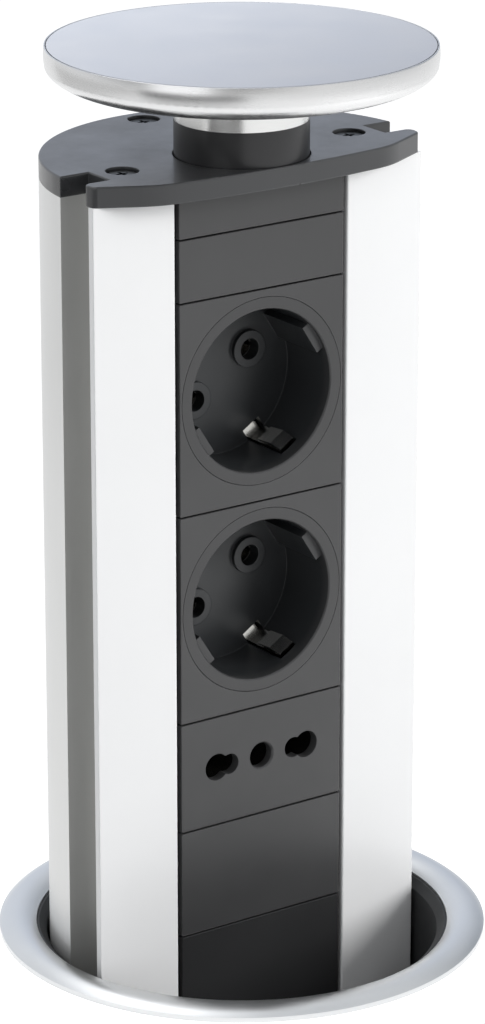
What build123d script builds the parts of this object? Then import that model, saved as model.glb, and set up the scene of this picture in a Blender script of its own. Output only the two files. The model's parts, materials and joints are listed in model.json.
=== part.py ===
from build123d import *
import os
from math import cos, pi, radians, sin, sqrt, tan

# Pop-up desk socket, raised. All sizes are in millimetres.
# The origin is the centre of the round cut-out at the worktop's top surface. +Z is up and
# the socket face looks along -Y.

# Clearances that every fitting piece shares
overrun = 2.0             # how far a cutting shape runs past what it cuts
slide_gap = 0.3           # between pieces that slide past each other
seat_gap = 0.1            # between pieces that are fitted together and stay put
screw_gap = 0.15          # round a screw's shank
stop_gap = 0.2            # left at a stop in the resting position
bezier_arm = 0.5523       # share of a quarter round's size, for a smooth rounding

# Column, the piece that is pulled up
profile_wall = 1.8
groove_depth = 8.1        # side grooves that run on the guide rails
groove_rear_y = 5.1
panel_back_y = -6.0
face_y = -8.4             # front faces of the socket modules
panel_edge_y = -7.8       # front of the panels at their outer edges
panel_gap = 1.2           # shadow gap beside the modules
panel_wall = 1.6
module_margin = 0.55      # beside the round socket inserts
side_bay = 12.95          # between the channel's wall and the side groove

# Heights, counted up from the column's lower end
sill_height = 4.2         # top of the lowest dark panel above the worktop
lower_blank_height = 27.2
outlet_height = 28.0
socket_margin = 3.2       # above and below the round socket inserts
upper_blank_height = 15.3
top_blank_height = 11.0
seam = 0.5                # between neighbouring module faces
cap_thick = 4.9
neck_height = 8.5
collar_height = 8.0
lid_height = 9.6
foot_thick = 4.0          # bottom cap

# Sleeve and flange in the worktop
sleeve_gap = 0.8
sleeve_wall = 2.1
sleeve_below = 70.0
sleeve_bevel = 1.8
mouth_gap = 0.4
ring_width = 9.1
ring_height = 3.0
ring_edge_height = 1.2
ring_mouth_height = 1.15
ring_rim = 1.1            # outer part of the ring that reaches down to the worktop
flange_thick = 0.65
flange_width = 5.5
seal_width = 2.4
spigot_length = 16.0      # plain wall that fills the cut-out
thread_step = 0.7         # thread crests lie this far inside the plain wall
thread_depth = 0.5
thread_pitch = 4.0
thread_land = 2.0
thread_end = 4.0

# Clamp ring below the worktop
worktop = 25.0
washer_thick = 1.2
washer_width = 15.0
nut_height = 12.0
nut_flange_thick = 4.0
nut_flange_width = 13.7
nut_hub_width = 7.2
nut_lobes = 8
nut_lobe_r = 5.0

# Guide rails, brakes and stop buffers
rail_top = 14.0           # below the worktop's surface
rail_length = 38.0
travel_lug_height = 4.0   # between the guide rails' lower ends and the column's foot plate
rail_side_gap = 0.5
brake_width = 6.0
brake_thick = 2.6
brake_pocket_top = 4.0    # below the rail's top
brake_pocket_rise = 20.0  # above the rail's lower end
pocket_depth = 5.5
leaf_thick = 0.35
leaf_bow = 2.2
rail_screw_rises = (15.0, 4.0)    # above the rail's lower end
rail_screw_r = 1.25
rail_screw_head_r = 2.5
rail_screw_length = 7.0
rail_screw_head = 0.7
rail_screw_slot = 0.4
travel = 218.0
stop_reach = 13.6         # inwards from the column's widest line
stop_height = 14.0
stop_width = 4.0

# Top cap
lip_front_y = -16.8
lip_bow = 2.3             # the front curves back this far at its corners
lip_corner_inset = 14.6
lip_slope = 27.5
lip_bend_r = 22.0
lip_end_inset = 0.5
lip_end_r = 1.9
lip_back_step = 2.6       # the lip's back edge, behind the panels' back
cap_edge = 0.4
screw_port_r = 3.6
port_hole_r = 1.7
rear_screw_inset = 6.6
side_screw_inset = 7.0
side_screw_y = 1.7
cap_screw_r = 1.6
cap_screw_head_r = 3.4
cap_recess_r = 4.0
cap_recess_depth = 3.2
cap_screw_head = 2.5
cap_screw_length = 14.0
cross_width = 0.8
cross_depth = 1.0

# Lid, its neck and its return spring
lid_inset = 1.6
lid_bulge = 0.2
lid_rim_height = 4.3
lid_round_width = 12.0
lid_round_height = 5.0
inlay_rim = 0.3
inlay_thick = 1.0
inlay_gap = 0.25
collar_r = 15.9
neck_r = 16.0
neck_wall = 3.0
press_travel = 4.0
stem_r = 3.5
stem_gap = 0.05
stem_thread = 5.0
stem_foot_r = 5.2
stem_foot_thick = 1.5
cup_half = 8.0
cup_front_y = -6.3
cup_height = 24.0
cup_bearing = 7.0
cup_bore_r = 5.5
cup_floor = 2.0
spring_wire = 0.8
spring_turns = 5

# Socket modules
plate_thick = 2.5
blank_thick = 1.6
leg_thick = 1.4
leg_back_y = 6.0
snap_out = 1.0
snap_front_y = 2.0
snap_back_y = 5.0
housing_back_y = 14.0
housing_wall = 1.5
insert_rim = 3.0
insert_lift = 1.1         # the inserts sit this far above their module's middle
insert_lip = 1.5
insert_gap = 0.12
cavity_r = 20.0
cavity_depth = 17.5
cavity_bevel = 0.3
cup_wall = 1.65
cup_base = 2.5
pin_spacing = 19.0
pin_hole_r = 2.6
pin_boss_r = 4.6
pin_boss_height = 1.2
pin_tilt = 32.6           # the pins' line above level, seen from the front
key_width = 8.0
key_height = 2.2
clip_width = 4.6
clip_slot = 5.4
clip_thick = 0.8
clip_recess = 0.1         # the clips' back lies this deep in the cavity's wall
clip_bow = 2.5
clip_front_depth = 4.0
clip_tip_depth = 13.0
contact_r = 3.4
contact_bore_r = 2.45
contact_slit = 0.8

# Outlet with three round pin openings
lobe_near_x = 9.5
lobe_far_x = 13.2
lobe_near_r = 2.6
lobe_far_r = 3.4
earth_hole_r = 3.2
hole_bevel = 0.4
outlet_contact_wall = 1.0
outlet_body_rim = 1.1
outlet_margin = 3.0
outlet_lift = 1.0         # the openings sit this far above their module's middle
outlet_body_depth = 16.0

# Busbars, chassis and terminals
bar_y = 24.0
bar_thick = 1.0
bar_inner_x = 5.0
bar_outer_x = 14.0
earth_bar_half = 2.0
earth_tail_half = 1.4
chassis_wall = 2.0
chassis_rise = 6.0        # above the foot plate
bar_rise = 10.0
terminal_rise = 18.0
terminal_depth = 9.0
terminal_screw_r = 1.6
terminal_head_r = 2.4
terminal_head = 1.5
terminal_pitch = 9.5

# Cable entry at the column's foot
gland_y = 22.0
gland_thread_r = 8.0
gland_bore_r = 6.5
gland_flange_r = 11.0
gland_flange_thick = 3.0
gland_neck = 9.0
dome_r = 11.0
dome_height = 14.0
dome_round = 2.5
cable_r = 4.5
seal_length = 9.0
locknut_r = 11.0
locknut_thick = 3.0
foot_screw_length = 12.0
foot_screw_head_r = 3.2
foot_screw_head = 2.0

# Worked out from the sizes above
insert_r = cavity_r + insert_rim
module_half = insert_r + module_margin
channel_x = module_half + panel_gap
groove_x = channel_x + profile_wall + side_bay
column_r = groove_x + groove_depth
sleeve_inner_r = column_r + sleeve_gap
sleeve_outer_r = sleeve_inner_r + sleeve_wall
ring_inner_r = sleeve_outer_r + mouth_gap
ring_outer_r = ring_inner_r + ring_width
flange_r = sleeve_outer_r + flange_width
rail_low = -rail_top - rail_length
column_foot = rail_low - travel_lug_height
lower_blank_z = sill_height
outlet_z = lower_blank_z + lower_blank_height
lower_socket_z = outlet_z + outlet_height
socket_height = 2 * (insert_r + socket_margin)
upper_socket_z = lower_socket_z + socket_height
upper_blank_z = upper_socket_z + socket_height
top_blank_z = upper_blank_z + upper_blank_height
column_top = top_blank_z + top_blank_height
cap_top = column_top + cap_thick
neck_top = cap_top + neck_height
lid_low = neck_top + collar_height
lid_top = lid_low + lid_height
cavity_floor_y = face_y + cavity_depth
cup_back_y = cavity_floor_y + cup_base
cup_r = cavity_r + cup_wall
clip_outer_r = cavity_r + clip_recess
clip_inner_r = clip_outer_r - clip_bow
outlet_body_half = lobe_far_x + lobe_far_r + outlet_contact_wall + outlet_body_rim
outlet_body_height = outlet_height - 2 * outlet_margin
lid_r = column_r - lid_inset
lip_corner_x = column_r - lip_corner_inset
lip_back_y = panel_back_y + lip_back_step
stop_inner_x = column_r - stop_reach
rear_screw_y = column_r - rear_screw_inset
side_screw_x = groove_x - side_screw_inset
screw_places = ((0, rear_screw_y), (-side_screw_x, side_screw_y), (side_screw_x, side_screw_y))
washer_z = -worktop
nut_top = washer_z - washer_thick
washer_bore_r = sleeve_outer_r + slide_gap
nut_bore_r = sleeve_outer_r - thread_step + slide_gap
foot_z = column_foot - foot_thick
rail_front_y = lip_back_y + rail_side_gap
rail_back_y = groove_rear_y - rail_side_gap
rail_y = (rail_front_y + rail_back_y) / 2
chassis_low = column_foot + chassis_rise
bar_low = column_foot + bar_rise
terminal_high = column_foot + terminal_rise
chassis_half = lobe_far_x + lobe_far_r + outlet_contact_wall + slide_gap


# Simple shapes between stated limits

def rect(x_low, x_high, y_low, y_high):
    """Flat rectangle between two x and two y values."""
    middle = Pos((x_low + x_high) / 2, (y_low + y_high) / 2)
    return middle * Rectangle(x_high - x_low, y_high - y_low)


def prism(outline, z_low, z_high):
    """Outline drawn in the XY plane, pulled up between two heights."""
    return Pos(0, 0, z_low) * extrude(outline, amount=z_high - z_low)


def block(x_low, x_high, y_low, y_high, z_low, z_high):
    """Box between two corners."""
    return prism(rect(x_low, x_high, y_low, y_high), z_low, z_high)


def rod(radius, z_low, z_high, x=0, y=0):
    """Upright round bar."""
    return prism(Pos(x, y) * Circle(radius), z_low, z_high)


def tube(outer, inner, z_low, z_high, x=0, y=0):
    """Upright round tube."""
    return prism(Pos(x, y) * (Circle(outer) - Circle(inner)), z_low, z_high)


def across(radius, x, z, y_front, y_back):
    """Round bar that lies along Y."""
    length = y_back - y_front
    return Pos(x, y_front + length / 2, z) * Rot(90, 0, 0) * Cylinder(radius, length)


def sideways(radius, x_low, x_high, y, z):
    """Round bar that lies along X."""
    length = x_high - x_low
    return Pos(x_low + length / 2, y, z) * Rot(0, 90, 0) * Cylinder(radius, length)


def turned(outline):
    """Solid of revolution about the upright axis from closed lines in the XZ plane."""
    return revolve(make_face(outline), Axis.Z)


def mirrored(solid):
    """The same piece on the other side of the column."""
    return mirror(solid, Plane.YZ)


def save(solid, name):
    """Write one piece to its own file."""
    export_step(solid, f"parts/{name}.step")


# Flange, sleeve and clamp in the worktop

def flange_ring():
    """Domed metal trim ring that covers the sleeve's flange."""
    crest_r = (ring_inner_r + ring_outer_r) / 2
    recess_r = ring_outer_r - ring_rim
    start = (ring_inner_r, 0, flange_thick)
    mouth = (ring_inner_r, 0, ring_mouth_height)
    edge = (ring_outer_r, 0, ring_edge_height)
    foot = (ring_outer_r, 0, 0)
    rim = (recess_r, 0, 0)
    recess = (recess_r, 0, flange_thick)
    dome = ThreePointArc(mouth, (crest_r, 0, ring_height), edge)
    lines = Polyline(edge, foot, rim, recess, start, mouth)
    return turned([dome, *lines.edges()])


def worktop_seal():
    """Flat rubber ring beside the sleeve's flange, under the trim ring."""
    inner = flange_r + seat_gap
    return tube(inner + seal_width, inner, 0, flange_thick)


def thread_grooves():
    """Grooves between the thread's crests, as parallel rings."""
    crest_r = sleeve_outer_r - thread_step
    root_r = crest_r - thread_depth
    start = spigot_length + thread_land
    count = int((sleeve_below - thread_end - start) / thread_pitch)
    grooves = []
    for i in range(count):
        top = -start - i * thread_pitch
        low = top - (thread_pitch - thread_land)
        grooves.append(tube(sleeve_outer_r + overrun, root_r, low, top))
    return grooves


def stop_buffer():
    """Rubber block in the sleeve that the cap's lip lands on when the column is down."""
    top = column_top - travel - stop_gap
    y_high = face_y - rail_side_gap
    pad = rect(stop_inner_x, sleeve_outer_r, y_high - stop_width, y_high)
    pad = pad & Circle(sleeve_inner_r - seat_gap)
    return prism(pad, top - stop_height, top)


def rail_screw_heights():
    """Heights of the guide rails' screws."""
    return [rail_low + rise for rise in rail_screw_rises]


def screw_seat_x():
    """How far out a rail screw's head reaches, just inside the thread's crests."""
    return sleeve_outer_r - thread_step - seat_gap


def guide_sleeve():
    """Black sleeve that fills the cut-out, with its flange and thread."""
    bottom = -sleeve_below
    top_r = sleeve_inner_r + sleeve_bevel
    inner_low = (sleeve_inner_r, 0, bottom)
    outer_low = (sleeve_outer_r - thread_step, 0, bottom)
    outer_mid = (sleeve_outer_r - thread_step, 0, -spigot_length)
    spigot_low = (sleeve_outer_r, 0, -spigot_length)
    spigot_top = (sleeve_outer_r, 0, 0)
    flange_low = (flange_r, 0, 0)
    flange_top = (flange_r, 0, flange_thick)
    mouth = (top_r, 0, flange_thick)
    bevel = (sleeve_inner_r, 0, flange_thick - sleeve_bevel)
    sleeve = turned(
        Polyline(
            inner_low, outer_low, outer_mid, spigot_low, spigot_top,
            flange_low, flange_top, mouth, bevel, close=True,
        ).edges()
    )
    for groove in thread_grooves():
        sleeve -= groove
    for z in rail_screw_heights():
        hole = rail_screw_hole(z)
        sleeve -= hole + mirrored(hole)
    return sleeve


def rail_screw_hole(z):
    """Hole and countersink for one rail screw."""
    out = screw_seat_x()
    shank = sideways(rail_screw_r + screw_gap, out - rail_screw_length - overrun,
                     sleeve_outer_r + overrun, rail_y, z)
    head = sideways(rail_screw_head_r + screw_gap, out - rail_screw_head - seat_gap / 2,
                    sleeve_outer_r + overrun, rail_y, z)
    return shank + head


def rail_screws():
    """Four flat-headed screws that hold the guide rails in the sleeve."""
    out = screw_seat_x()
    screws = []
    for z in rail_screw_heights():
        head = sideways(rail_screw_head_r, out - rail_screw_head, out, rail_y, z)
        shank = sideways(rail_screw_r, out - rail_screw_length, out, rail_y, z)
        slot = block(out - rail_screw_slot, out + overrun, rail_y - rail_screw_head_r,
                     rail_y + rail_screw_head_r, z - cross_width / 2, z + cross_width / 2)
        screw = head + shank - slot
        screws += [screw, mirrored(screw)]
    return Compound(children=screws)


def brake_window():
    """Height range of the pocket in a guide rail."""
    return rail_low + brake_pocket_rise, -rail_top - brake_pocket_top


def guide_rail():
    """Plastic rail that fills the column's side groove and holds a brake pad."""
    inner_x = groove_x + slide_gap
    outline = rect(inner_x, sleeve_outer_r, rail_front_y, rail_back_y)
    outline = outline & Circle(sleeve_inner_r - seat_gap)
    rail = prism(outline, rail_low, -rail_top)
    z_low, z_high = brake_window()
    rail -= block(inner_x - overrun, inner_x + pocket_depth, rail_y - brake_width / 2,
                  rail_y + brake_width / 2, z_low, z_high)
    for z in rail_screw_heights():
        rail -= rail_screw_hole(z)
    return rail


def brake_pad():
    """Felt-faced block that rubs on the groove's wall and holds the column up."""
    z_low, z_high = brake_window()
    half = brake_width / 2 - seat_gap
    inner_x = groove_x + slide_gap
    return block(inner_x, inner_x + brake_thick, rail_y - half, rail_y + half,
                 z_low + seat_gap, z_high - seat_gap)


def brake_spring():
    """Bowed leaf spring behind a brake pad."""
    z_low, z_high = brake_window()
    start = z_low + 2 * seat_gap
    end = z_high - 2 * seat_gap
    middle = (start + end) / 2
    front = groove_x + slide_gap + brake_thick + seat_gap
    back = front + leaf_bow
    half = brake_width / 2 - 2 * seat_gap
    inner = ThreePointArc((back, 0, start), (front, 0, middle), (back, 0, end))
    outer = ThreePointArc((back + leaf_thick, 0, start), (front + leaf_thick, 0, middle),
                          (back + leaf_thick, 0, end))
    ends = [Line(inner @ 0, outer @ 0), Line(inner @ 1, outer @ 1)]
    strip = extrude(make_face([inner, outer, *ends]), amount=half, both=True)
    return Pos(0, rail_y, 0) * strip


def clamp_washer():
    """Steel washer between the clamp nut and the worktop's underside."""
    return tube(washer_bore_r + washer_width, washer_bore_r, washer_z - washer_thick, washer_z)


def clamp_nut():
    """Large plastic nut with grip lobes, screwed up the sleeve from below."""
    flange = tube(nut_bore_r + nut_flange_width, nut_bore_r, nut_top - nut_flange_thick, nut_top)
    hub_r = nut_bore_r + nut_hub_width
    hub = Circle(hub_r)
    for i in range(nut_lobes):
        angle = 2 * pi * i / nut_lobes
        hub += Pos(hub_r * cos(angle), hub_r * sin(angle)) * Circle(nut_lobe_r)
    hub -= Circle(nut_bore_r)
    return flange + prism(hub, nut_top - nut_height, nut_top)


# Column: extrusion, panels, cap and foot

def screw_ports():
    """Round ports in the extrusion that the cap's and the foot's screws bite into."""
    web = profile_wall / 2
    rear = Pos(0, rear_screw_y) * Circle(screw_port_r)
    rear += rect(-web, web, rear_screw_y, column_r - web)
    right = Pos(side_screw_x, side_screw_y) * Circle(screw_port_r)
    right += rect(side_screw_x, groove_x - web, side_screw_y - web, side_screw_y + web)
    return rear + right + mirror(right, Plane.YZ)


def rear_profile():
    """Aluminium extrusion: round back, side grooves and the channel for the modules."""
    wall = profile_wall
    bow = Circle(column_r) & rect(-column_r, column_r, groove_rear_y, column_r)
    trunk = rect(-groove_x, groove_x, panel_back_y, groove_rear_y + wall)
    hollow = Circle(column_r - wall) & rect(-column_r, column_r, groove_rear_y + wall, column_r)
    hollow += rect(-groove_x + wall, groove_x - wall, panel_back_y + wall, groove_rear_y + wall)
    hollow += rect(-groove_x + wall, groove_x - wall, groove_rear_y, groove_rear_y + wall + overrun)
    section = bow + trunk - hollow
    section -= rect(-channel_x, channel_x, panel_back_y - overrun, panel_back_y + wall + overrun)
    for side in (-1, 1):
        edges = sorted((side * channel_x, side * (channel_x + wall)))
        section += rect(*edges, panel_back_y, housing_back_y + chassis_wall)
    section += screw_ports()
    for x, y in screw_places:
        section -= Pos(x, y) * Circle(port_hole_r)
    return prism(section, column_foot, column_top)


def panel_outline():
    """Section of the right front panel: a thin face, a rounded outer edge and two feet."""
    inner = channel_x
    outer = sqrt(column_r ** 2 - panel_edge_y ** 2)
    middle = (inner + outer) / 2
    bow_y = (face_y + panel_edge_y) / 2 - seat_gap
    front = ThreePointArc((inner, face_y), (middle, bow_y), (outer, panel_edge_y))
    box = Polyline((outer, panel_edge_y), (outer, panel_back_y), (inner, panel_back_y), (inner, face_y))
    shape = make_face([front, *box.edges()])
    foot = 2 * panel_wall
    hollow = rect(inner + foot, outer - foot, face_y + panel_wall + seat_gap, panel_back_y + overrun)
    shape -= hollow & rect(inner, outer, panel_edge_y + panel_wall / 2, panel_back_y + overrun)
    return shape & Circle(column_r)


def front_panel():
    """Right front panel beside the modules."""
    panel = prism(panel_outline(), column_foot, column_top)
    corners = panel.edges().filter_by(Axis.Z).group_by(Axis.Y)[0]
    return fillet(corners, panel_wall / 4)


def lip_outline():
    """Front lip of the cap: slightly bowed in the middle, then bent back to two narrow tips."""
    corner_y = lip_front_y + lip_bow
    tip_x = column_r + overrun
    tip_y = corner_y + (tip_x - lip_corner_x) * tan(radians(lip_slope))
    back = max(lip_back_y, tip_y) + overrun
    left = (-lip_corner_x, corner_y)
    right = (lip_corner_x, corner_y)
    front = ThreePointArc(left, (0, lip_front_y), right)
    rest = Polyline(right, (tip_x, tip_y), (tip_x, back), (-tip_x, back), (-tip_x, tip_y), left)
    lip = make_face([front, *rest.edges()])
    lip = fillet(lip.vertices().group_by(Axis.Y)[0], lip_bend_r)
    lip = lip & rect(-column_r, column_r, lip_front_y - overrun, lip_back_y)
    lip = lip & Circle(column_r - lip_end_inset)
    ends = [vertex for vertex in lip.vertices() if abs(vertex.X) > groove_x]
    return fillet(ends, lip_end_r)


def cap_outline():
    """The cap's outline, with a notch over each side groove."""
    rear = Circle(column_r) & rect(-column_r, column_r, groove_rear_y, column_r)
    middle = rect(-groove_x, groove_x, lip_back_y - overrun, groove_rear_y + overrun)
    return rear + middle + lip_outline()


def top_cap():
    """Black cap on the column, with three screw recesses and the neck's pocket."""
    cap = prism(cap_outline(), column_top, cap_top)
    cap = fillet(cap.faces().sort_by(Axis.Z)[-1].outer_wire().edges(), cap_edge)
    pocket_floor = cap_top - press_travel - 2 * stop_gap
    cap -= rod(neck_r + slide_gap, pocket_floor, cap_top + overrun)
    cap -= rod(stem_r + slide_gap, column_top - overrun, cap_top)
    for x, y in screw_places:
        cap -= rod(cap_recess_r, cap_top - cap_recess_depth, cap_top + overrun, x, y)
        cap -= rod(cap_screw_r + screw_gap, column_top - overrun, cap_top, x, y)
    return cap


def cross_slot(x, y, z):
    """Cross recess in a screw head whose top is at z."""
    slot = Pos(x, y) * (Rectangle(2 * cap_screw_r, cross_width) + Rectangle(cross_width, 2 * cap_screw_r))
    return prism(slot, z - cross_depth, z + overrun)


def cap_screws():
    """Three screws that hold the cap on the extrusion."""
    seat = cap_top - cap_recess_depth
    screws = []
    for x, y in screw_places:
        screw = rod(cap_screw_head_r, seat, seat + cap_screw_head, x, y)
        screw += rod(cap_screw_r, seat - cap_screw_length, seat, x, y)
        screws.append(screw - cross_slot(x, y, seat + cap_screw_head))
    return Compound(children=screws)


def column_foot_outline():
    """Outline of the column's foot: the extrusion, the grooves left open, and the panels."""
    rear = Circle(column_r) & rect(-column_r, column_r, groove_rear_y, column_r)
    trunk = rect(-groove_x, groove_x, panel_back_y, groove_rear_y + overrun)
    front = Circle(column_r) & rect(-column_r, column_r, panel_edge_y, panel_back_y)
    return rear + trunk + front


def travel_lug():
    """Lug in the right groove that meets the guide rail when the column is up."""
    inner_x = groove_x - profile_wall
    lug = rect(groove_x + seat_gap, column_r, rail_front_y, rail_back_y) & Circle(column_r)
    web = rect(inner_x, column_r, rail_front_y, rail_back_y) & Circle(column_r)
    return prism(lug, foot_z, rail_low - stop_gap) + prism(web, foot_z, column_foot)


def bottom_cap():
    """Black foot plate of the column, with the travel lugs and the cable entry."""
    foot = prism(column_foot_outline(), foot_z, column_foot)
    foot += travel_lug() + mirrored(travel_lug())
    foot -= rod(gland_thread_r + seat_gap, foot_z - overrun, column_foot + overrun, 0, gland_y)
    for x, y in screw_places:
        foot -= rod(cap_screw_r + screw_gap, foot_z - overrun, column_foot + overrun, x, y)
    return foot


def foot_screws():
    """Three screws that hold the foot plate."""
    screws = []
    for x, y in screw_places:
        screw = rod(foot_screw_head_r, foot_z - foot_screw_head, foot_z, x, y)
        screw += rod(cap_screw_r, foot_z, foot_z + foot_screw_length, x, y)
        slot = Pos(0, 0, -cross_depth - overrun) * cross_slot(x, y, foot_z - foot_screw_head + cross_depth)
        screws.append(screw - slot)
    return Compound(children=screws)


# Lid with its neck, stem and return spring

def lid_bowl():
    """Shallow round lid with a rounded underside and a recess for its top disc."""
    side_z = lid_top - lid_rim_height
    low_r = lid_r - lid_round_width
    low_z = side_z - lid_round_height
    top = (lid_r, 0, lid_top)
    belly = (lid_r + lid_bulge, 0, (lid_top + side_z) / 2)
    side = (lid_r, 0, side_z)
    bottom = (low_r, 0, low_z)
    wall = ThreePointArc(top, belly, side)
    rounding = Bezier(side, (lid_r, 0, side_z - bezier_arm * lid_round_height),
                      (low_r + bezier_arm * lid_round_width, 0, low_z), bottom)
    rest = Polyline(bottom, (collar_r, 0, lid_low), (0, 0, lid_low), (0, 0, lid_top), top)
    lid = turned([wall, rounding, *rest.edges()])
    lid -= rod(lid_r - inlay_rim, lid_top - inlay_thick, lid_top + overrun)
    lid -= rod(stem_r + stem_gap, lid_low - overrun, lid_low + stem_thread)
    return lid


def lid_inlay():
    """Satin disc let into the lid's top."""
    disc = rod(lid_r - inlay_rim - inlay_gap, lid_top - inlay_thick, lid_top)
    return disc


def lid_collar():
    """Bright collar between the lid and its neck."""
    return tube(collar_r, stem_r + seat_gap, neck_top, lid_low)


def neck_tube():
    """Black neck that dips into the cap's pocket when the lid is pressed."""
    bottom = cap_top - stop_gap
    neck = tube(neck_r, stem_r + seat_gap, bottom, neck_top)
    hollow = tube(neck_r - neck_wall, stem_r + neck_wall, bottom - overrun, neck_top - neck_wall)
    return neck - hollow


def foot_top():
    """Height of the stem foot's upper face, just under the cup's bearing."""
    return column_top - cup_bearing - stop_gap


def lid_stem():
    """Steel stem that joins the lid to the spring, with its foot disc."""
    top = foot_top()
    stem = rod(stem_r, top, lid_low + stem_thread)
    return stem + rod(stem_foot_r, top - stem_foot_thick, top)


def spring_cup():
    """Cup under the cap that guides the stem and holds the return spring."""
    top = column_top
    cup = block(-cup_half, cup_half, cup_front_y, cup_half, top - cup_height, top)
    cup -= rod(stem_r + stem_gap, top - cup_bearing - overrun, top + overrun)
    cup -= rod(cup_bore_r, top - cup_height + cup_floor, top - cup_bearing)
    return cup


def spring_range():
    """Lower and upper end of the return spring."""
    return column_top - cup_height + cup_floor, foot_top() - stem_foot_thick


def lid_spring():
    """Coil spring that lifts the lid back up."""
    z_low, z_high = spring_range()
    wire = spring_wire / 2
    radius = cup_bore_r - 3 * wire
    height = z_high - z_low - 4 * wire
    path = Helix(pitch=height / spring_turns, height=height, radius=radius)
    section = Plane(origin=path @ 0, z_dir=path % 0) * Circle(wire)
    coil = sweep(section, path=path, is_frenet=True)
    return Pos(0, 0, z_low + 2 * wire) * coil


# Modules in the column's front

def snap_ridges(z_low, z_high):
    """Ridges on a module's sides that hold it in the column's channel."""
    out = module_half + snap_out
    right = block(module_half - leg_thick / 2, out, snap_front_y, snap_back_y, z_low, z_high)
    return right + mirrored(right)


def blank(z_low, height, thick=blank_thick):
    """Plain cover plate on two legs."""
    low = z_low + seam / 2
    high = z_low + height - seam / 2
    half = module_half
    outline = rect(-half, half, face_y, leg_back_y)
    outline -= rect(-half + leg_thick, half - leg_thick, face_y + thick, leg_back_y + overrun)
    plate = prism(outline, low, high)
    return plate + snap_ridges(low, high)


def base_panel():
    """Dark panel that runs on below the worktop."""
    height = sill_height - column_foot
    return blank(column_foot, height)


def top_blank():
    """Narrow cover under the cap."""
    return blank(top_blank_z, top_blank_height)


def socket_middle(z_low):
    """Height of a socket's centre."""
    return z_low + socket_height / 2 + insert_lift


def socket_housing(z_low):
    """Square socket module that holds the round insert, open at the back."""
    low = z_low + seam / 2
    high = z_low + socket_height - seam / 2
    half = module_half
    middle = socket_middle(z_low)
    body = block(-half, half, face_y, housing_back_y, low, high)
    body -= block(-half + leg_thick, half - leg_thick, face_y + plate_thick, housing_back_y + overrun,
                  low + housing_wall, high - housing_wall)
    lip_y = face_y + insert_lip
    body -= across(insert_r + insert_gap, 0, middle, face_y - overrun, lip_y)
    body -= across(cup_r + seat_gap, 0, middle, lip_y - overrun, face_y + plate_thick + overrun)
    return body + snap_ridges(low, high)


def pin_places(middle):
    """Centres of the two pin holes round a socket's centre."""
    reach = pin_spacing / 2
    x = reach * cos(radians(pin_tilt))
    z = reach * sin(radians(pin_tilt))
    return ((x, middle + z), (-x, middle - z))


def turned_about_y(solid, angle, middle):
    """Turn a solid about a socket's axis, counter-clockwise seen from the front."""
    return Pos(0, 0, middle) * Rot(0, -angle, 0) * Pos(0, 0, -middle) * solid


def socket_insert(z_low):
    """Round insert with the plug cavity, pin bosses, guide keys and earth slots."""
    middle = socket_middle(z_low)
    insert = across(insert_r, 0, middle, face_y, face_y + insert_lip - seat_gap / 2)
    insert += across(cup_r, 0, middle, face_y, cup_back_y)
    insert -= across(cavity_r, 0, middle, face_y - overrun, cavity_floor_y)
    mouth = Cone(cavity_r, cavity_r + cavity_bevel, cavity_bevel)
    insert -= Pos(0, face_y + cavity_bevel / 2, middle) * Rot(90, 0, 0) * mouth
    key = block(cavity_r - key_height, cavity_r + cup_wall / 2, face_y + insert_lip,
                cavity_floor_y + cup_base / 2, middle - key_width / 2, middle + key_width / 2)
    for turn in (pin_tilt, pin_tilt + 180):
        insert += turned_about_y(key, turn, middle)
    for x, z in pin_places(middle):
        insert += across(pin_boss_r, x, z, cavity_floor_y - pin_boss_height, cavity_floor_y + cup_base / 2)
    for x, z in pin_places(middle):
        insert -= across(pin_hole_r, x, z, cavity_floor_y - overrun, cup_back_y + overrun)
    slot = block(clip_inner_r - clip_thick, cup_r + overrun, face_y + clip_front_depth - seat_gap,
                 cup_back_y + overrun, middle - clip_slot / 2, middle + clip_slot / 2)
    for turn in (pin_tilt + 90, pin_tilt - 90):
        insert -= turned_about_y(slot, turn, middle)
    return insert


def earth_clip(z_low):
    """Springy earth strip: two arms in the cavity's wall joined behind the floor."""
    middle = socket_middle(z_low)
    t = clip_thick
    back = cup_back_y + seat_gap
    front = face_y + clip_front_depth
    bend_r = (clip_outer_r + clip_inner_r) / 2
    tip_y = face_y + clip_tip_depth
    half = clip_width / 2
    arm = Polyline(
        (clip_outer_r, back + t), (clip_outer_r, front + t), (bend_r, front),
        (clip_inner_r, front + 4 * t), (clip_inner_r + t, tip_y), (clip_inner_r + t + t / 2, tip_y),
        (clip_inner_r + t, front + 4 * t), (bend_r, front + t),
        (clip_outer_r - t, front + 2 * t), (clip_outer_r - t, back + t), close=True,
    )
    strip = extrude(make_face(arm.edges()), amount=half, both=True)
    right = Pos(0, 0, middle) * strip
    bracket = block(-clip_outer_r, clip_outer_r, back, back + t, middle - half, middle + half)
    tail = block(-earth_tail_half, earth_tail_half, back, bar_y, middle - earth_tail_half,
                 middle + earth_tail_half)
    clip = bracket + right + mirrored(right)
    return turned_about_y(clip, pin_tilt + 90, middle) + tail


def socket_contacts(z_low):
    """Two split brass sleeves that grip the plug's pins."""
    middle = socket_middle(z_low)
    front = cup_back_y + seat_gap
    sleeves = []
    for x, z in pin_places(middle):
        sleeve = across(contact_r, x, z, front, bar_y)
        sleeve -= across(contact_bore_r, x, z, front - overrun, bar_y - bar_thick)
        sleeve -= block(x - contact_r - overrun, x + contact_r + overrun, front - overrun,
                        bar_y - 3 * bar_thick, z - contact_slit / 2, z + contact_slit / 2)
        sleeves.append(sleeve)
    return Compound(children=sleeves)


def outlet_middle():
    """Height of the three-hole outlet's centre."""
    return outlet_z + outlet_height / 2 + outlet_lift


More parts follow.
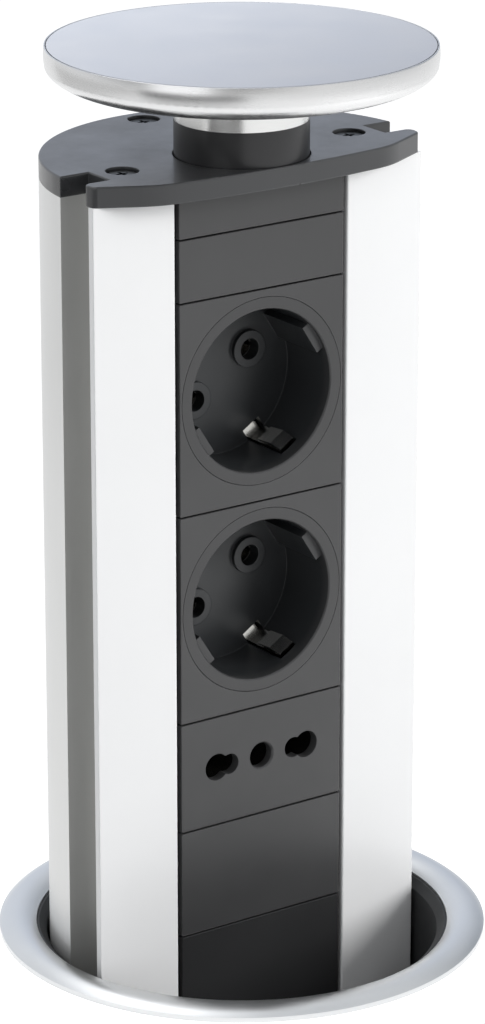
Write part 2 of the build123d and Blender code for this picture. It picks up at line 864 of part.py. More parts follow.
def double_hole(side, grow, y_front, y_back):
    """Pin opening of two overlapping round holes, for two plug sizes."""
    z = outlet_middle()
    near = across(lobe_near_r + grow, side * lobe_near_x, z, y_front, y_back)
    far = across(lobe_far_r + grow, side * lobe_far_x, z, y_front, y_back)
    return near + far


def outlet_plate():
    """Cover of the three-hole outlet."""
    plate = blank(outlet_z, outlet_height, plate_thick)
    for side in (-1, 1):
        plate -= double_hole(side, 0, face_y - overrun, face_y + plate_thick + overrun)
    hole = across(earth_hole_r, 0, outlet_middle(), face_y - overrun, face_y + plate_thick + overrun)
    bevel = Pos(0, face_y + hole_bevel / 2, outlet_middle()) * Rot(90, 0, 0)
    cone = bevel * Cone(earth_hole_r, earth_hole_r + hole_bevel, hole_bevel)
    return plate - hole - cone


def outlet_body():
    """Insulating block behind the outlet's cover, with three contact wells."""
    front = face_y + plate_thick + seat_gap
    back = front + outlet_body_depth
    z = outlet_middle()
    half = outlet_body_height / 2
    body = block(-outlet_body_half, outlet_body_half, front, back, z - half, z + half)
    grow = outlet_contact_wall + seat_gap
    for side in (-1, 1):
        body -= double_hole(side, grow, front - overrun, back + overrun)
    return body - across(earth_hole_r + grow, 0, z, front - overrun, back + overrun)


def outlet_contacts():
    """Three brass contact tubes of the outlet, reaching back to the busbars."""
    front = face_y + plate_thick + 2 * seat_gap
    z = outlet_middle()
    wall = outlet_contact_wall
    contacts = []
    for side in (-1, 1):
        tube_out = double_hole(side, wall, front, bar_y)
        tube_in = double_hole(side, 0, front - overrun, bar_y - bar_thick)
        contacts.append(tube_out - tube_in)
    earth = across(earth_hole_r + wall, 0, z, front, bar_y - seat_gap)
    earth -= across(earth_hole_r, 0, z, front - overrun, bar_y - bar_thick - seat_gap)
    contacts.append(earth)
    return Compound(children=contacts)


# Wiring behind the modules

def busbar(x_low, x_high):
    """Flat copper bar that feeds all the outlets."""
    return block(x_low, x_high, bar_y, bar_y + bar_thick, bar_low, upper_blank_z - housing_wall)


def chassis():
    """Insulating channel that carries the busbars behind the modules."""
    front = housing_back_y + stop_gap
    back = bar_y + bar_thick + seat_gap
    wall = chassis_wall
    half = chassis_half
    outer = rect(-half - wall, half + wall, front, back + wall)
    inner = rect(-half, half, front - overrun, back)
    wing = channel_x - slide_gap
    section = outer - inner
    for side in (-1, 1):
        edges = sorted((side * half, side * wing))
        section += rect(*edges, front, front + wall - stop_gap)
    return prism(section, chassis_low, upper_blank_z - housing_wall)


def terminal_block():
    """Terminal block for the supply leads in front of the busbars' lower ends."""
    back = bar_y - seat_gap
    front = back - terminal_depth
    half = chassis_half - stop_gap
    body = block(-half, half, front, back, chassis_low, terminal_high)
    z = (chassis_low + terminal_high) / 2
    for x in (-terminal_pitch, 0, terminal_pitch):
        body -= across(terminal_screw_r + screw_gap, x, z, front - overrun, back + overrun)
        body -= across(terminal_head_r + screw_gap, x, z, front - overrun, front + terminal_head)
    return body


def terminal_screws():
    """Three brass screws in the terminal block."""
    back = bar_y - seat_gap
    front = back - terminal_depth
    z = (chassis_low + terminal_high) / 2
    screws = []
    for x in (-terminal_pitch, 0, terminal_pitch):
        screw = across(terminal_head_r, x, z, front, front + terminal_head - seat_gap)
        screw += across(terminal_screw_r, x, z, front, back)
        slot = block(x - terminal_head_r, x + terminal_head_r, front - overrun, front + terminal_head / 2,
                     z - cross_width / 2, z + cross_width / 2)
        screws.append(screw - slot)
    return Compound(children=screws)


# Cable entry

def gland_body():
    """Threaded body of the cable gland, through the foot plate."""
    flange_low = foot_z - gland_flange_thick
    body = rod(gland_thread_r, flange_low - gland_neck, column_foot + locknut_thick, 0, gland_y)
    body += rod(gland_flange_r, flange_low, foot_z, 0, gland_y)
    bore_low = flange_low - gland_neck - overrun
    bore_high = column_foot + locknut_thick + overrun
    return body - rod(gland_bore_r, bore_low, bore_high, 0, gland_y)


def gland_locknut():
    """Nut that holds the gland from inside the column."""
    nut = Pos(0, gland_y) * RegularPolygon(locknut_r, 6)
    nut -= Pos(0, gland_y) * Circle(gland_thread_r + seat_gap)
    return prism(nut, column_foot, column_foot + locknut_thick)


def dome_base():
    """Lower end of the gland's dome nut."""
    return foot_z - gland_flange_thick - seat_gap - dome_height


def gland_dome():
    """Dome nut that squeezes the seal round the supply cable."""
    low = dome_base()
    high = low + dome_height
    dome = rod(dome_r, low, high, 0, gland_y)
    dome = fillet(dome.faces().sort_by(Axis.Z)[0].edges(), dome_round)
    dome -= rod(gland_thread_r + seat_gap, high - gland_neck - seat_gap, high + overrun, 0, gland_y)
    return dome - rod(cable_r + 2 * slide_gap, low - overrun, high, 0, gland_y)


def gland_seal():
    """Rubber seal inside the gland; its bore grips the supply cable."""
    low = foot_z - gland_flange_thick - gland_neck
    return tube(gland_bore_r - seat_gap, cable_r, low, low + seal_length, 0, gland_y)


def main():
    """Build every piece and write it to its own file."""
    os.makedirs("parts", exist_ok=True)
    save(flange_ring(), "flange_ring")
    save(worktop_seal(), "worktop_seal")
    save(guide_sleeve(), "guide_sleeve")
    for side, place in (("right", lambda solid: solid), ("left", mirrored)):
        save(place(guide_rail()), f"guide_rail_{side}")
        save(place(brake_pad()), f"brake_pad_{side}")
        save(place(brake_spring()), f"brake_spring_{side}")
        save(place(stop_buffer()), f"stop_buffer_{side}")
        save(place(front_panel()), f"front_panel_{side}")
    save(rail_screws(), "rail_screws")
    save(clamp_washer(), "clamp_washer")
    save(clamp_nut(), "clamp_nut")
    save(rear_profile(), "rear_profile")
    save(top_cap(), "top_cap")
    save(cap_screws(), "cap_screws")
    save(bottom_cap(), "bottom_cap")
    save(foot_screws(), "foot_screws")
    save(lid_bowl(), "lid_bowl")
    save(lid_inlay(), "lid_inlay")
    save(lid_collar(), "lid_collar")
    save(neck_tube(), "neck_tube")
    save(lid_stem(), "lid_stem")
    save(spring_cup(), "spring_cup")
    save(lid_spring(), "lid_spring")
    save(top_blank(), "top_blank")
    save(blank(upper_blank_z, upper_blank_height), "upper_blank")
    save(blank(lower_blank_z, lower_blank_height), "lower_blank")
    save(base_panel(), "base_panel")
    for name, z_low in (("upper", upper_socket_z), ("lower", lower_socket_z)):
        save(socket_housing(z_low), f"socket_housing_{name}")
        save(socket_insert(z_low), f"socket_insert_{name}")
        save(earth_clip(z_low), f"earth_clip_{name}")
        save(socket_contacts(z_low), f"socket_contacts_{name}")
    save(outlet_plate(), "outlet_plate")
    save(outlet_body(), "outlet_body")
    save(outlet_contacts(), "outlet_contacts")
    save(busbar(bar_inner_x, bar_outer_x), "busbar_live")
    save(busbar(-bar_outer_x, -bar_inner_x), "busbar_neutral")
    save(busbar(-earth_bar_half, earth_bar_half), "busbar_earth")
    save(chassis(), "busbar_chassis")
    save(terminal_block(), "terminal_block")
    save(terminal_screws(), "terminal_screws")
    save(gland_body(), "gland_body")
    save(gland_locknut(), "gland_locknut")
    save(gland_dome(), "gland_dome")
    save(gland_seal(), "gland_seal")


main()
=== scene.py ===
import json
import math

import bmesh
import bpy
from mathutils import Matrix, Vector


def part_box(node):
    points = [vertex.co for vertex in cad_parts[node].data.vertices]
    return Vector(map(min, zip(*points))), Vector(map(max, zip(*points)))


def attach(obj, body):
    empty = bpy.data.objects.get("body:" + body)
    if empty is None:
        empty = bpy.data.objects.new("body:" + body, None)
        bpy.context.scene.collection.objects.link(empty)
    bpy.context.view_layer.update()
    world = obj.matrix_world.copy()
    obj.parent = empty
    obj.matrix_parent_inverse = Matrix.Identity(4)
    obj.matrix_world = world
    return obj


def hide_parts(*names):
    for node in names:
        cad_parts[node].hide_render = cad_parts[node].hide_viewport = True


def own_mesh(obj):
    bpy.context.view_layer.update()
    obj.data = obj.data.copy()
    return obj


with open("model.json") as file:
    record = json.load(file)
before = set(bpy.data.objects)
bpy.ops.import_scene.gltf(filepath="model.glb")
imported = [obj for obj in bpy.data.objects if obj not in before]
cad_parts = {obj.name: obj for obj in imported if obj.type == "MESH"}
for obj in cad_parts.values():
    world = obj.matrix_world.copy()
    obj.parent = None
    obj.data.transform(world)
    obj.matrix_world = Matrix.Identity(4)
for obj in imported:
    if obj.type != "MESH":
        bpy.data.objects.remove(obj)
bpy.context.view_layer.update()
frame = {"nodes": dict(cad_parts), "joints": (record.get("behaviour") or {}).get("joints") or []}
nodes = frame["nodes"]

MM = 0.001
MICRON = 0.000001
WHITE = (1, 1, 1)

# Level directions of the photo's view: towards the camera, and to the right of the picture
TOWARDS_VIEW = (-0.577, -0.817)
VIEW_RIGHT = (0.817, -0.577)


def joint_range(name):
    """Lowest and highest travel of a sliding joint, in metres."""
    return next(joint["range_m"] for joint in frame["joints"] if joint["name"] == name)


def placed(name, data):
    """A new object in the scene that shows a mesh, a lamp or a camera."""
    piece = bpy.data.objects.new(name, data)
    bpy.context.scene.collection.objects.link(piece)
    return piece


# Node trees

class Graph:
    """A node tree that starts empty, with helpers."""

    def __init__(self, owner):
        owner.use_nodes = True
        self.tree = owner.node_tree
        self.tree.nodes.clear()

    def add(self, kind, **values):
        """A new node with these properties."""
        node = self.tree.nodes.new(kind)
        for name, value in values.items():
            setattr(node, name, value)
        return node

    def join(self, source, target):
        """Links an output to an input."""
        self.tree.links.new(source, target)

    def maths(self, kind, *values):
        """One step of arithmetic on outputs and numbers."""
        node = self.add("ShaderNodeMath", operation=kind)
        for value, target in zip(values, node.inputs):
            if isinstance(value, (int, float)):
                target.default_value = value
            else:
                self.join(value, target)
        return node.outputs[0]

    def spread(self, value, low, high, start=0.3, end=0.7):
        """A value between start and end, spread between two numbers."""
        node = self.add("ShaderNodeMapRange")
        node.inputs["From Min"].default_value = start
        node.inputs["From Max"].default_value = end
        node.inputs["To Min"].default_value = low
        node.inputs["To Max"].default_value = high
        self.join(value, node.inputs["Value"])
        return node.outputs["Result"]

    def ramp(self, value, stops):
        """A colour for a value, from stops of place and colour in rising order."""
        node = self.add("ShaderNodeValToRGB")
        elements = node.color_ramp.elements
        while len(elements) < len(stops):
            elements.new(0.5)
        for element, (place, color) in zip(elements, stops):
            element.position = place
            element.color = (*color, 1)
        self.join(value, node.inputs[0])
        return node.outputs["Color"]

    def mixed(self, share, source, color):
        """A colour output moved towards a fixed colour by a share."""
        node = self.add("ShaderNodeMix", data_type="RGBA")
        self.join(share, node.inputs["Factor"])
        self.join(source, node.inputs["A"])
        node.inputs["B"].default_value = (*color, 1)
        return node.outputs["Result"]

    def mixed_shaders(self, share, first, second):
        """Two shaders, the second in this share."""
        node = self.add("ShaderNodeMixShader")
        for source, target in zip((share, first, second), node.inputs):
            self.join(source, target)
        return node.outputs[0]

    def ray_is(self, *kinds):
        """One for a ray of any of these kinds, otherwise zero."""
        path = self.add("ShaderNodeLightPath")
        found = path.outputs[kinds[0]]
        for kind in kinds[1:]:
            found = self.maths("MAXIMUM", found, path.outputs[kind])
        return found


# Materials

# Features of the noises per metre
PLASTIC_CLOUDS = 28
PLASTIC_GLOSS = 60
METAL_CLOUDS = 35
METAL_GLOSS = 70
BLASTED_GRAIN = 4200
TURNED_LINES = 9000

ANGLE_SHARE = 0.0008
COAT_ROUGHNESS = 0.08
WIDE_GLOSS_SHARE = 0.6


def near(color, share):
    """A darker and a lighter neighbour of a colour."""
    return tuple(c * (1 - share) for c in color), tuple(min(1, c * (1 + share)) for c in color)


class Look(Graph):
    """A material with one surface shader. Its coordinates are the object's own, in metres."""

    def __init__(self, name):
        self.mat = bpy.data.materials.new(name)
        super().__init__(self.mat)
        self.shader = self.add("ShaderNodeBsdfPrincipled")
        self.join(self.shader.outputs["BSDF"], self.add("ShaderNodeOutputMaterial").inputs["Surface"])
        self.place = self.add("ShaderNodeTexCoord").outputs["Object"]
        self.normal = None

    def set(self, **values):
        """Sets numbers on the shader's own inputs."""
        for name, value in values.items():
            self.shader.inputs[name.replace("_", " ")].default_value = value

    def recolor(self, share, color):
        """Moves the base colour towards another one by a share."""
        base = self.shader.inputs["Base Color"]
        self.join(self.mixed(share, base.links[0].from_socket, color), base)

    def scaled(self, scale, place=None):
        """Coordinates stretched by a vector."""
        node = self.add("ShaderNodeMapping")
        node.inputs["Scale"].default_value = scale
        self.join(place or self.place, node.inputs["Vector"])
        return node.outputs["Vector"]

    def round_place(self):
        """Distance from the upright axis, a slow share of the angle round it, and height, as a vector."""
        split = self.add("ShaderNodeSeparateXYZ")
        self.join(self.place, split.inputs[0])
        x, y, z = split.outputs
        square = self.maths("ADD", self.maths("MULTIPLY", x, x), self.maths("MULTIPLY", y, y))
        join = self.add("ShaderNodeCombineXYZ")
        self.join(self.maths("SQRT", square), join.inputs[0])
        self.join(self.maths("MULTIPLY", self.maths("ARCTAN2", y, x), ANGLE_SHARE), join.inputs[1])
        self.join(z, join.inputs[2])
        return join.outputs[0]

    def noise(self, scale, detail=2.0, rough=0.5, place=None):
        """Smooth noise with so many features per metre."""
        node = self.add("ShaderNodeTexNoise")
        node.inputs["Scale"].default_value = scale
        node.inputs["Detail"].default_value = detail
        node.inputs["Roughness"].default_value = rough
        self.join(place or self.place, node.inputs["Vector"])
        return node.outputs["Fac"]

    def clouded(self, color, share, scale):
        """A base colour that drifts slowly between its darker and lighter neighbour."""
        low, high = near(color, share)
        cloud = self.noise(scale, detail=4)
        self.join(self.ramp(cloud, [(0.3, low), (0.7, high)]), self.shader.inputs["Base Color"])

    def rough(self, value, low, high, start=0.3, end=0.7):
        """Uneven gloss."""
        self.join(self.spread(value, low, high, start, end), self.shader.inputs["Roughness"])

    def bump(self, value, distance, strength=0.5):
        """Relief on top of any softened edges."""
        node = self.add("ShaderNodeBump")
        node.inputs["Distance"].default_value = distance
        node.inputs["Strength"].default_value = strength
        self.join(value, node.inputs["Height"])
        if self.normal is not None:
            self.join(self.normal, node.inputs["Normal"])
        self.join(node.outputs["Normal"], self.shader.inputs["Normal"])

    def soft_edge(self, width):
        """Edges catch light as if they were slightly rounded."""
        bevel = self.add("ShaderNodeBevel", samples=6)
        bevel.inputs["Radius"].default_value = width
        self.normal = bevel.outputs["Normal"]

    def painted_shade_along(self, direction, low, high, color, amount):
        """Paints shade: moves the colour towards another one between two distances along a direction of the
        object.
        """
        dot = self.add("ShaderNodeVectorMath", operation="DOT_PRODUCT")
        self.join(self.place, dot.inputs[0])
        dot.inputs[1].default_value = direction
        self.recolor(self.spread(dot.outputs["Value"], 0.0, amount, low, high), color)

    def worn(self, color, amount, width=0.4 * MM, scale=260):
        """Lighter, slightly broken wear along edges."""
        bevel = self.add("ShaderNodeBevel", samples=4)
        bevel.inputs["Radius"].default_value = width
        dot = self.add("ShaderNodeVectorMath", operation="DOT_PRODUCT")
        self.join(bevel.outputs["Normal"], dot.inputs[0])
        self.join(self.add("ShaderNodeNewGeometry").outputs["Normal"], dot.inputs[1])
        edge = self.spread(dot.outputs["Value"], low=1.0, high=0.0, start=0.9, end=0.99)
        broken = self.spread(self.noise(scale, detail=3), low=0.2, high=1.0, start=0.4, end=0.65)
        self.recolor(self.maths("MULTIPLY", self.maths("MULTIPLY", edge, broken), amount), color)


def plastic(name, color, rough=0.5, grain=30 * MICRON, share=0.07, coat=0.0, scale=2600, edge=0.0):
    """Moulded plastic: slow colour change, fine spark-eroded grain, uneven gloss."""
    look = Look(name)
    if edge:
        look.soft_edge(edge)
    look.set(Metallic=0.0, Coat_Weight=coat, Coat_Roughness=COAT_ROUGHNESS)
    look.clouded(color, share, PLASTIC_CLOUDS)
    look.rough(look.noise(PLASTIC_GLOSS, detail=5, rough=0.6), low=rough - 0.06, high=rough + 0.07)
    look.bump(look.noise(scale), grain)
    return look


def metal(name, color, rough=0.3, lines=None, grain=6 * MICRON, share=0.03, edge=0.0, swing=0.05):
    """Metal with turned lines or straight ones along stretched coordinates, or bead-blasted without them."""
    look = Look(name)
    if edge:
        look.soft_edge(edge)
    look.set(Metallic=1.0)
    if lines == "turned":
        fine = look.noise(1.0, 3, 0.6, look.scaled((TURNED_LINES,) * 3, look.round_place()))
    elif lines:
        fine = look.noise(1.0, 3, 0.6, look.scaled(lines))
    else:
        fine = look.noise(BLASTED_GRAIN)
    look.clouded(color, share, METAL_CLOUDS)
    wide = look.maths("MULTIPLY", look.noise(METAL_GLOSS, detail=4), WIDE_GLOSS_SHARE)
    close = look.maths("MULTIPLY", fine, 1 - WIDE_GLOSS_SHARE)
    look.rough(look.maths("ADD", wide, close), low=rough - swing, high=rough + swing, start=0.35, end=0.65)
    look.bump(fine, grain)
    return look


def give(look, *names):
    """Puts a material on CAD nodes or made pieces."""
    for name in names:
        piece = nodes[name] if isinstance(name, str) else name
        piece.data.materials.clear()
        piece.data.materials.append(look.mat)


# Lid, trim ring and the column's cap
ring_metal = metal("ring_metal", (0.69, 0.70, 0.705), rough=0.34, lines="turned", grain=8 * MICRON)
lid_metal = metal("lid_metal", (0.66, 0.66, 0.66), rough=0.27, lines="turned", grain=2 * MICRON,
                  share=0.012, edge=0.4 * MM, swing=0.02)
collar_metal = metal("collar_metal", (0.78, 0.78, 0.77), rough=0.24, lines="turned", grain=3 * MICRON,
                     share=0.02, swing=0.02)
neck_black = plastic("neck_black", (0.014, 0.014, 0.015), rough=0.32, grain=4 * MICRON, share=0.1,
                     scale=1500)
cap_plastic = plastic("cap_plastic", (0.037, 0.038, 0.040), rough=0.32, grain=12 * MICRON, share=0.08,
                      coat=0.2, edge=0.5 * MM)
cap_plastic.worn((0.12, 0.13, 0.14), amount=0.35)

# Painted shade: the disc on the lid is painted darker towards its front right, in place of darker
# reflections there
inlay_metal = metal("inlay_metal", (0.80, 0.80, 0.81), rough=0.38, grain=4 * MICRON)
inlay_shade_way = (0.17, -0.985, 0)
inlay_shade_start = -40 * MM
inlay_shade_end = 46 * MM
inlay_metal.painted_shade_along(inlay_shade_way, inlay_shade_start, inlay_shade_end, (0.56, 0.56, 0.575), 1.0)

# Painted shade: the column's extrusion is painted darker in its side grooves, where shade falls, most of all
# towards their front by the panels
extruded = metal("extruded", (0.74, 0.74, 0.73), rough=0.5, lines=(9000, 9000, 25), grain=10 * MICRON)
extruded.set(Metallic=0.75)
forwards = (0, -1, 0)
groove_back = 5.1 * MM
groove_painted_shade_start = -groove_back - 0.2 * MM
groove_painted_shade_end = -groove_back - 0.1 * MM
groove_shade_start = -groove_back + 2 * MM
groove_shade_end = 6 * MM
extruded.painted_shade_along(forwards, groove_painted_shade_start, groove_painted_shade_end, (0.60, 0.60, 0.585), 1.0)
extruded.painted_shade_along(forwards, groove_shade_start, groove_shade_end, (0.20, 0.20, 0.19), 0.8)

# Faces of the column
panel_white = plastic("panel_white", (0.93, 0.93, 0.93), rough=0.34, grain=4 * MICRON, share=0.012,
                      coat=0.25, scale=1900, edge=0.4 * MM)
module_grey = plastic("module_grey", (0.051, 0.051, 0.052), rough=0.38, grain=20 * MICRON, share=0.08,
                      edge=0.3 * MM)
module_grey.worn((0.16, 0.16, 0.165), amount=0.3, width=0.3 * MM)
base_grey = plastic("base_grey", (0.027, 0.027, 0.028), rough=0.38, grain=20 * MICRON, share=0.08,
                    edge=0.3 * MM)

# Painted shade: the sockets' inserts are painted darker from their rim into their cavity, where shade falls
insert_grey = plastic("insert_grey", (0.044, 0.044, 0.045), rough=0.36, grain=12 * MICRON, share=0.08,
                      edge=0.3 * MM)
inwards = (0, 1, 0)
cavity_painted_shade_start = -7.5 * MM
cavity_painted_shade_end = -5 * MM
insert_grey.painted_shade_along(inwards, cavity_painted_shade_start, cavity_painted_shade_end, (0.024, 0.026, 0.028), 1.0)

# Plastic, rubber and felt inside and below the worktop
inner_plastic = plastic("inner_plastic", (0.16, 0.16, 0.165), grain=20 * MICRON, share=0.06)
guide_plastic = plastic("guide_plastic", (0.62, 0.61, 0.58), rough=0.45, grain=10 * MICRON, share=0.04)
sleeve_black = plastic("sleeve_black", (0.007, 0.008, 0.009), rough=0.55, grain=20 * MICRON, share=0.12)
nut_black = plastic("nut_black", (0.020, 0.020, 0.021), grain=40 * MICRON, share=0.12)
nut_black.worn((0.07, 0.07, 0.07), amount=0.4)
rubber = plastic("rubber", (0.018, 0.018, 0.018), rough=0.72, share=0.12)
felt = plastic("felt", (0.21, 0.21, 0.22), rough=0.95, grain=300 * MICRON, share=0.3, scale=1400)

# Screws, springs and contacts
zinc = metal("zinc", (0.56, 0.57, 0.58), lines=(500, 500, 500), grain=10 * MICRON, share=0.08)
blackened = metal("blackened", (0.05, 0.055, 0.06), rough=0.36, grain=10 * MICRON, share=0.15)
clip_steel = metal("clip_steel", (0.85, 0.84, 0.81), rough=0.18, lines=(2500, 40, 2500), share=0.04)
spring_steel = metal("spring_steel", (0.42, 0.42, 0.44), rough=0.28, share=0.06)
brass = metal("brass", (0.72, 0.58, 0.32), rough=0.24, lines=(1800, 60, 1800), grain=8 * MICRON, share=0.08)
nickel = metal("nickel", (0.46, 0.45, 0.43), rough=0.22, lines=(1800, 60, 1800), share=0.06)

give(ring_metal, "flange_ring")
give(rubber, "worktop_seal", "gland_seal", "stop_buffer_left", "stop_buffer_right")
give(sleeve_black, "guide_sleeve", "bottom_cap")
give(guide_plastic, "guide_rail_left", "guide_rail_right")
give(felt, "brake_pad_left", "brake_pad_right")
give(spring_steel, "brake_spring_left", "brake_spring_right")
give(zinc, "rail_screws", "clamp_washer", "foot_screws", "lid_stem")
give(nut_black, "clamp_nut", "gland_body", "gland_locknut", "gland_dome")
give(extruded, "rear_profile")
give(panel_white, "front_panel_left", "front_panel_right")
give(cap_plastic, "top_cap")
give(blackened, "cap_screws")
give(inner_plastic, "spring_cup", "busbar_chassis", "terminal_block", "outlet_body")
give(module_grey, "top_blank", "upper_blank", "lower_blank", "socket_housing_upper", "socket_housing_lower",
     "outlet_plate")
give(base_grey, "base_panel")
give(insert_grey, "socket_insert_upper", "socket_insert_lower")
give(clip_steel, "earth_clip_upper", "earth_clip_lower")
give(nickel, "socket_contacts_upper", "socket_contacts_lower", "outlet_contacts")
give(brass, "busbar_live", "busbar_neutral", "busbar_earth", "terminal_screws")
give(lid_metal, "lid_bowl")
give(inlay_metal, "lid_inlay")
give(collar_metal, "lid_collar")
give(neck_black, "neck_tube")


# The lid's spring, which gets shorter when the lid is pressed; here its coil is a piece that moves whole
# with the lid

def pressed_spring():
    """The coil of the frame as a piece of its own that moves with the lid."""
    coil = placed("lid_spring_coil", nodes["lid_spring"].data.copy())
    give(spring_steel, coil)
    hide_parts("lid_spring")
    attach(coil, "lid")
    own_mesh(coil)


pressed_spring()


# Stage: a piece of worktop under the trim ring, a low floor, two cards, lamps and a white surround

CUTOUT_R = 51.0 * MM
SAMPLE_R = 64 * MM
RING_GAP = 0.02 * MM
FLOOR_HEIGHT = -0.32
FLOOR_REACH = 9
STAGE_SHADE = 0.6
STAGE_GLOW = 0.80


def white_where_seen(material):
    """A grey shade that camera, glossy and transmission rays see as white, with some shadow kept."""
    graph = Graph(material)
    seen = graph.ray_is("Is Camera Ray", "Is Glossy Ray", "Is Transmission Ray")
    diffuse = graph.add("ShaderNodeBsdfDiffuse")
    diffuse.inputs["Color"].default_value = (STAGE_SHADE, STAGE_SHADE, STAGE_SHADE, 1)
    glow = graph.add("ShaderNodeEmission")
    glow.inputs["Strength"].default_value = STAGE_GLOW
    both = graph.add("ShaderNodeAddShader")
    graph.join(diffuse.outputs[0], both.inputs[0])
    graph.join(glow.outputs[0], both.inputs[1])
    surface = graph.mixed_shaders(seen, diffuse.outputs[0], both.outputs[0])
    graph.join(surface, graph.add("ShaderNodeOutputMaterial").inputs["Surface"])


def ring_slab(name, inner, outer, low, high, sides=192):
    """Flat round slab with a round hole."""
    mesh = bpy.data.meshes.new(name)
    bm = bmesh.new()
    loops = []
    for radius, z in ((inner, low), (outer, low), (outer, high), (inner, high)):
        loops.append([bm.verts.new((radius * math.cos(2 * math.pi * i / sides),
                                    radius * math.sin(2 * math.pi * i / sides), z)) for i in range(sides)])
    for a, b in zip(loops, loops[1:] + loops[:1]):
        for i in range(sides):
            j = (i + 1) % sides
            bm.faces.new((a[i], a[j], b[j], b[i]))
    bmesh.ops.recalc_face_normals(bm, faces=bm.faces)
    bm.to_mesh(mesh)
    bm.free()
    return placed(name, mesh)


def quad(name, corners):
    """One flat face with four corners."""
    mesh = bpy.data.meshes.new(name)
    mesh.from_pydata(corners, [], [(0, 1, 2, 3)])
    return placed(name, mesh)


stage_white = bpy.data.materials.new("stage_white")
white_where_seen(stage_white)

# The sample is as thick as the thinnest worktop that the washer reaches
worktop_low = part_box("clamp_washer")[1][2] + joint_range("clamp_slide")[1]
worktop = ring_slab("worktop_sample", CUTOUT_R, SAMPLE_R, worktop_low, -RING_GAP)
worktop.data.materials.append(stage_white)

floor = quad("floor", [(x * FLOOR_REACH, y * FLOOR_REACH, FLOOR_HEIGHT)
                       for x, y in ((-1, -1), (1, -1), (1, 1), (-1, 1))])
floor.data.materials.append(stage_white)


CARD_DISTANCE = 0.42
CARD_LOW = 0.03
CARD_HIGH = 0.16


def flag(name, bearing, width, shade):
    """Upright card beside the view that only glossy rays see. Bearing is in degrees from the front view."""
    angle = math.radians(bearing)
    out = Vector((*TOWARDS_VIEW, 0)) * math.cos(angle) + Vector((*VIEW_RIGHT, 0)) * math.sin(angle)
    run = Vector((-out.y, out.x, 0)) * width / 2
    start = (out * CARD_DISTANCE - run).xy
    end = (out * CARD_DISTANCE + run).xy
    card = quad(name, [(*start, CARD_LOW), (*end, CARD_LOW), (*end, CARD_HIGH), (*start, CARD_HIGH)])
    card.visible_camera = False
    card.visible_diffuse = False
    card.visible_transmission = False
    card.visible_shadow = False
    material = bpy.data.materials.new(name)
    graph = Graph(material)
    glow = graph.add("ShaderNodeEmission")
    glow.inputs["Color"].default_value = (shade, shade, shade, 1)
    graph.join(glow.outputs[0], graph.add("ShaderNodeOutputMaterial").inputs["Surface"])
    card.data.materials.append(material)


flag("flag_left", bearing=-28, width=0.48, shade=0.12)
flag("flag_far", bearing=-97, width=0.55, shade=0.72)

# What glossy rays see of the surround: a ring of greys and pale blues. At 0 and 1 it is behind the object,
# at 0.25 left of the photo's view, at 0.5 on the camera's side and at 0.75 right of the view
STUDIO_STOPS = [
    (0.0, (0.74, 0.80, 0.92)), (0.12, (0.92, 0.95, 1.0)), (0.22, (0.84, 0.86, 0.90)),
    (0.36, (0.3, 0.3, 0.3)), (0.50, (0.4, 0.4, 0.4)), (0.62, (1.0, 1.0, 1.0)),
    (0.76, (0.78, 0.79, 0.80)), (0.88, (0.36, 0.39, 0.43)), (1.0, (0.74, 0.80, 0.92)),
]
OVERHEAD_SHADE = (0.80, 0.82, 0.85)
OVERHEAD_START = 0.35
OVERHEAD_FULL = 0.8
DIM_COLOR = (0.96, 0.98, 1.0)
DIM_STRENGTH = 0.42

world = bpy.data.worlds.new("surround")
bpy.context.scene.world = world
sky = Graph(world)
ray = sky.add("ShaderNodeSeparateXYZ")
sky.join(sky.add("ShaderNodeTexCoord").outputs["Generated"], ray.inputs[0])
east, north, up = ray.outputs


def along(way):
    """How far the ray points along a level direction."""
    return sky.maths("ADD", sky.maths("MULTIPLY", east, way[0]), sky.maths("MULTIPLY", north, way[1]))


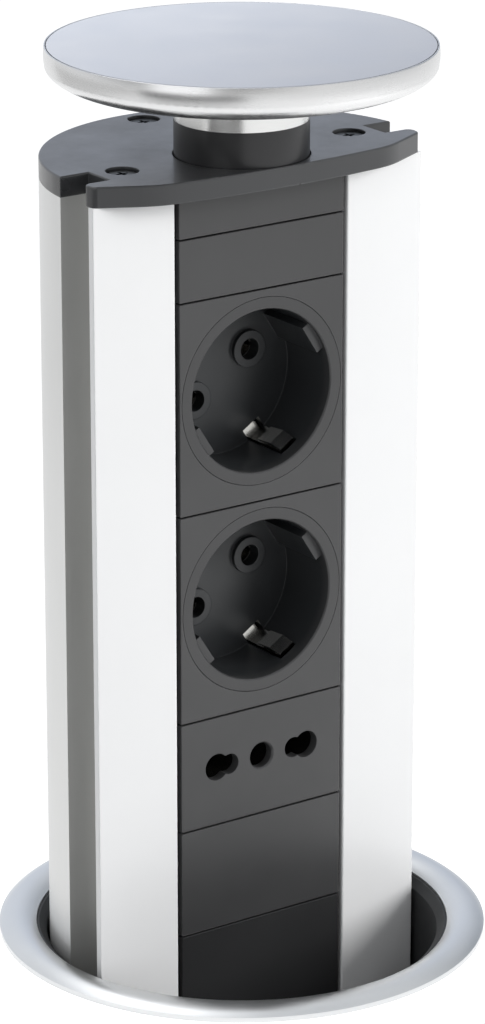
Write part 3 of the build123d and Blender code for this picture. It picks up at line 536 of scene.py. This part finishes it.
turn_round = sky.maths("ARCTAN2", along(VIEW_RIGHT), along(TOWARDS_VIEW))
compass = sky.maths("ADD", sky.maths("DIVIDE", turn_round, 2 * math.pi), 0.5)
overhead = sky.spread(up, 0.0, 1.0, OVERHEAD_START, OVERHEAD_FULL)
studio = sky.mixed(overhead, sky.ramp(compass, STUDIO_STOPS), OVERHEAD_SHADE)
backdrop = sky.mixed(sky.ray_is("Is Camera Ray", "Is Transmission Ray"), studio, WHITE)
bright = sky.add("ShaderNodeBackground")
bright.inputs["Strength"].default_value = 1.0
sky.join(backdrop, bright.inputs["Color"])
dim = sky.add("ShaderNodeBackground")
dim.inputs["Color"].default_value = (*DIM_COLOR, 1)
dim.inputs["Strength"].default_value = DIM_STRENGTH
surround = sky.mixed_shaders(sky.ray_is("Is Camera Ray", "Is Glossy Ray", "Is Transmission Ray"),
                             dim.outputs[0], bright.outputs[0])
sky.join(surround, sky.add("ShaderNodeOutputWorld").inputs["Surface"])


def lamp(name, place, aim_height, size, power, color=WHITE):
    """Soft lamp with a flat face that looks at a point on the upright axis."""
    data = bpy.data.lights.new(name, "AREA")
    data.shape = "RECTANGLE"
    data.size, data.size_y = size
    data.energy = power
    data.color = color
    piece = placed(name, data)
    piece.location = place
    piece.rotation_mode = "QUATERNION"
    piece.rotation_quaternion = (Vector(place) - Vector((0, 0, aim_height))).to_track_quat("Z", "Y")
    return piece


key = lamp("key", place=(0.88, -0.86, 0.55), aim_height=0.12, size=(0.6, 0.6), power=13.0)
key.visible_glossy = False
lamp("fill", place=(-0.95, -0.35, 0.45), aim_height=0.12, size=(0.7, 0.9), power=2.2,
     color=(0.97, 0.98, 1.0))
lamp("top", place=(-0.1, 0.3, 1.0), aim_height=0.2, size=(0.9, 0.7), power=3.0)


# Camera, fitted to the photograph, with its focal length and the picture's height in pixels

TURN = math.radians(-35.23)
RISE = math.radians(18.63)
DISTANCE = 1060.93 * MM
AIM_HEIGHT = 106.63 * MM
AIM_RIGHT = 0.19 * MM
FOCAL_PIXELS = 4411.35
HEIGHT_PIXELS = 1024
SENSOR = 36

across = Vector((math.cos(TURN), math.sin(TURN), 0))
away = Vector((math.sin(TURN) * math.cos(RISE), -math.cos(TURN) * math.cos(RISE), math.sin(RISE)))
camera_data = bpy.data.cameras.new("camera")
camera_data.sensor_width = SENSOR
camera_data.lens = FOCAL_PIXELS * SENSOR / HEIGHT_PIXELS
camera_data.clip_start = 0.01
camera_data.clip_end = 50
camera = placed("camera", camera_data)
camera.location = Vector((0, 0, AIM_HEIGHT)) + across * AIM_RIGHT + away * DISTANCE
camera.rotation_mode = "QUATERNION"
camera.rotation_quaternion = away.to_track_quat("Z", "Y")
bpy.context.scene.camera = camera
bpy.context.scene.view_settings.view_transform = "Standard"
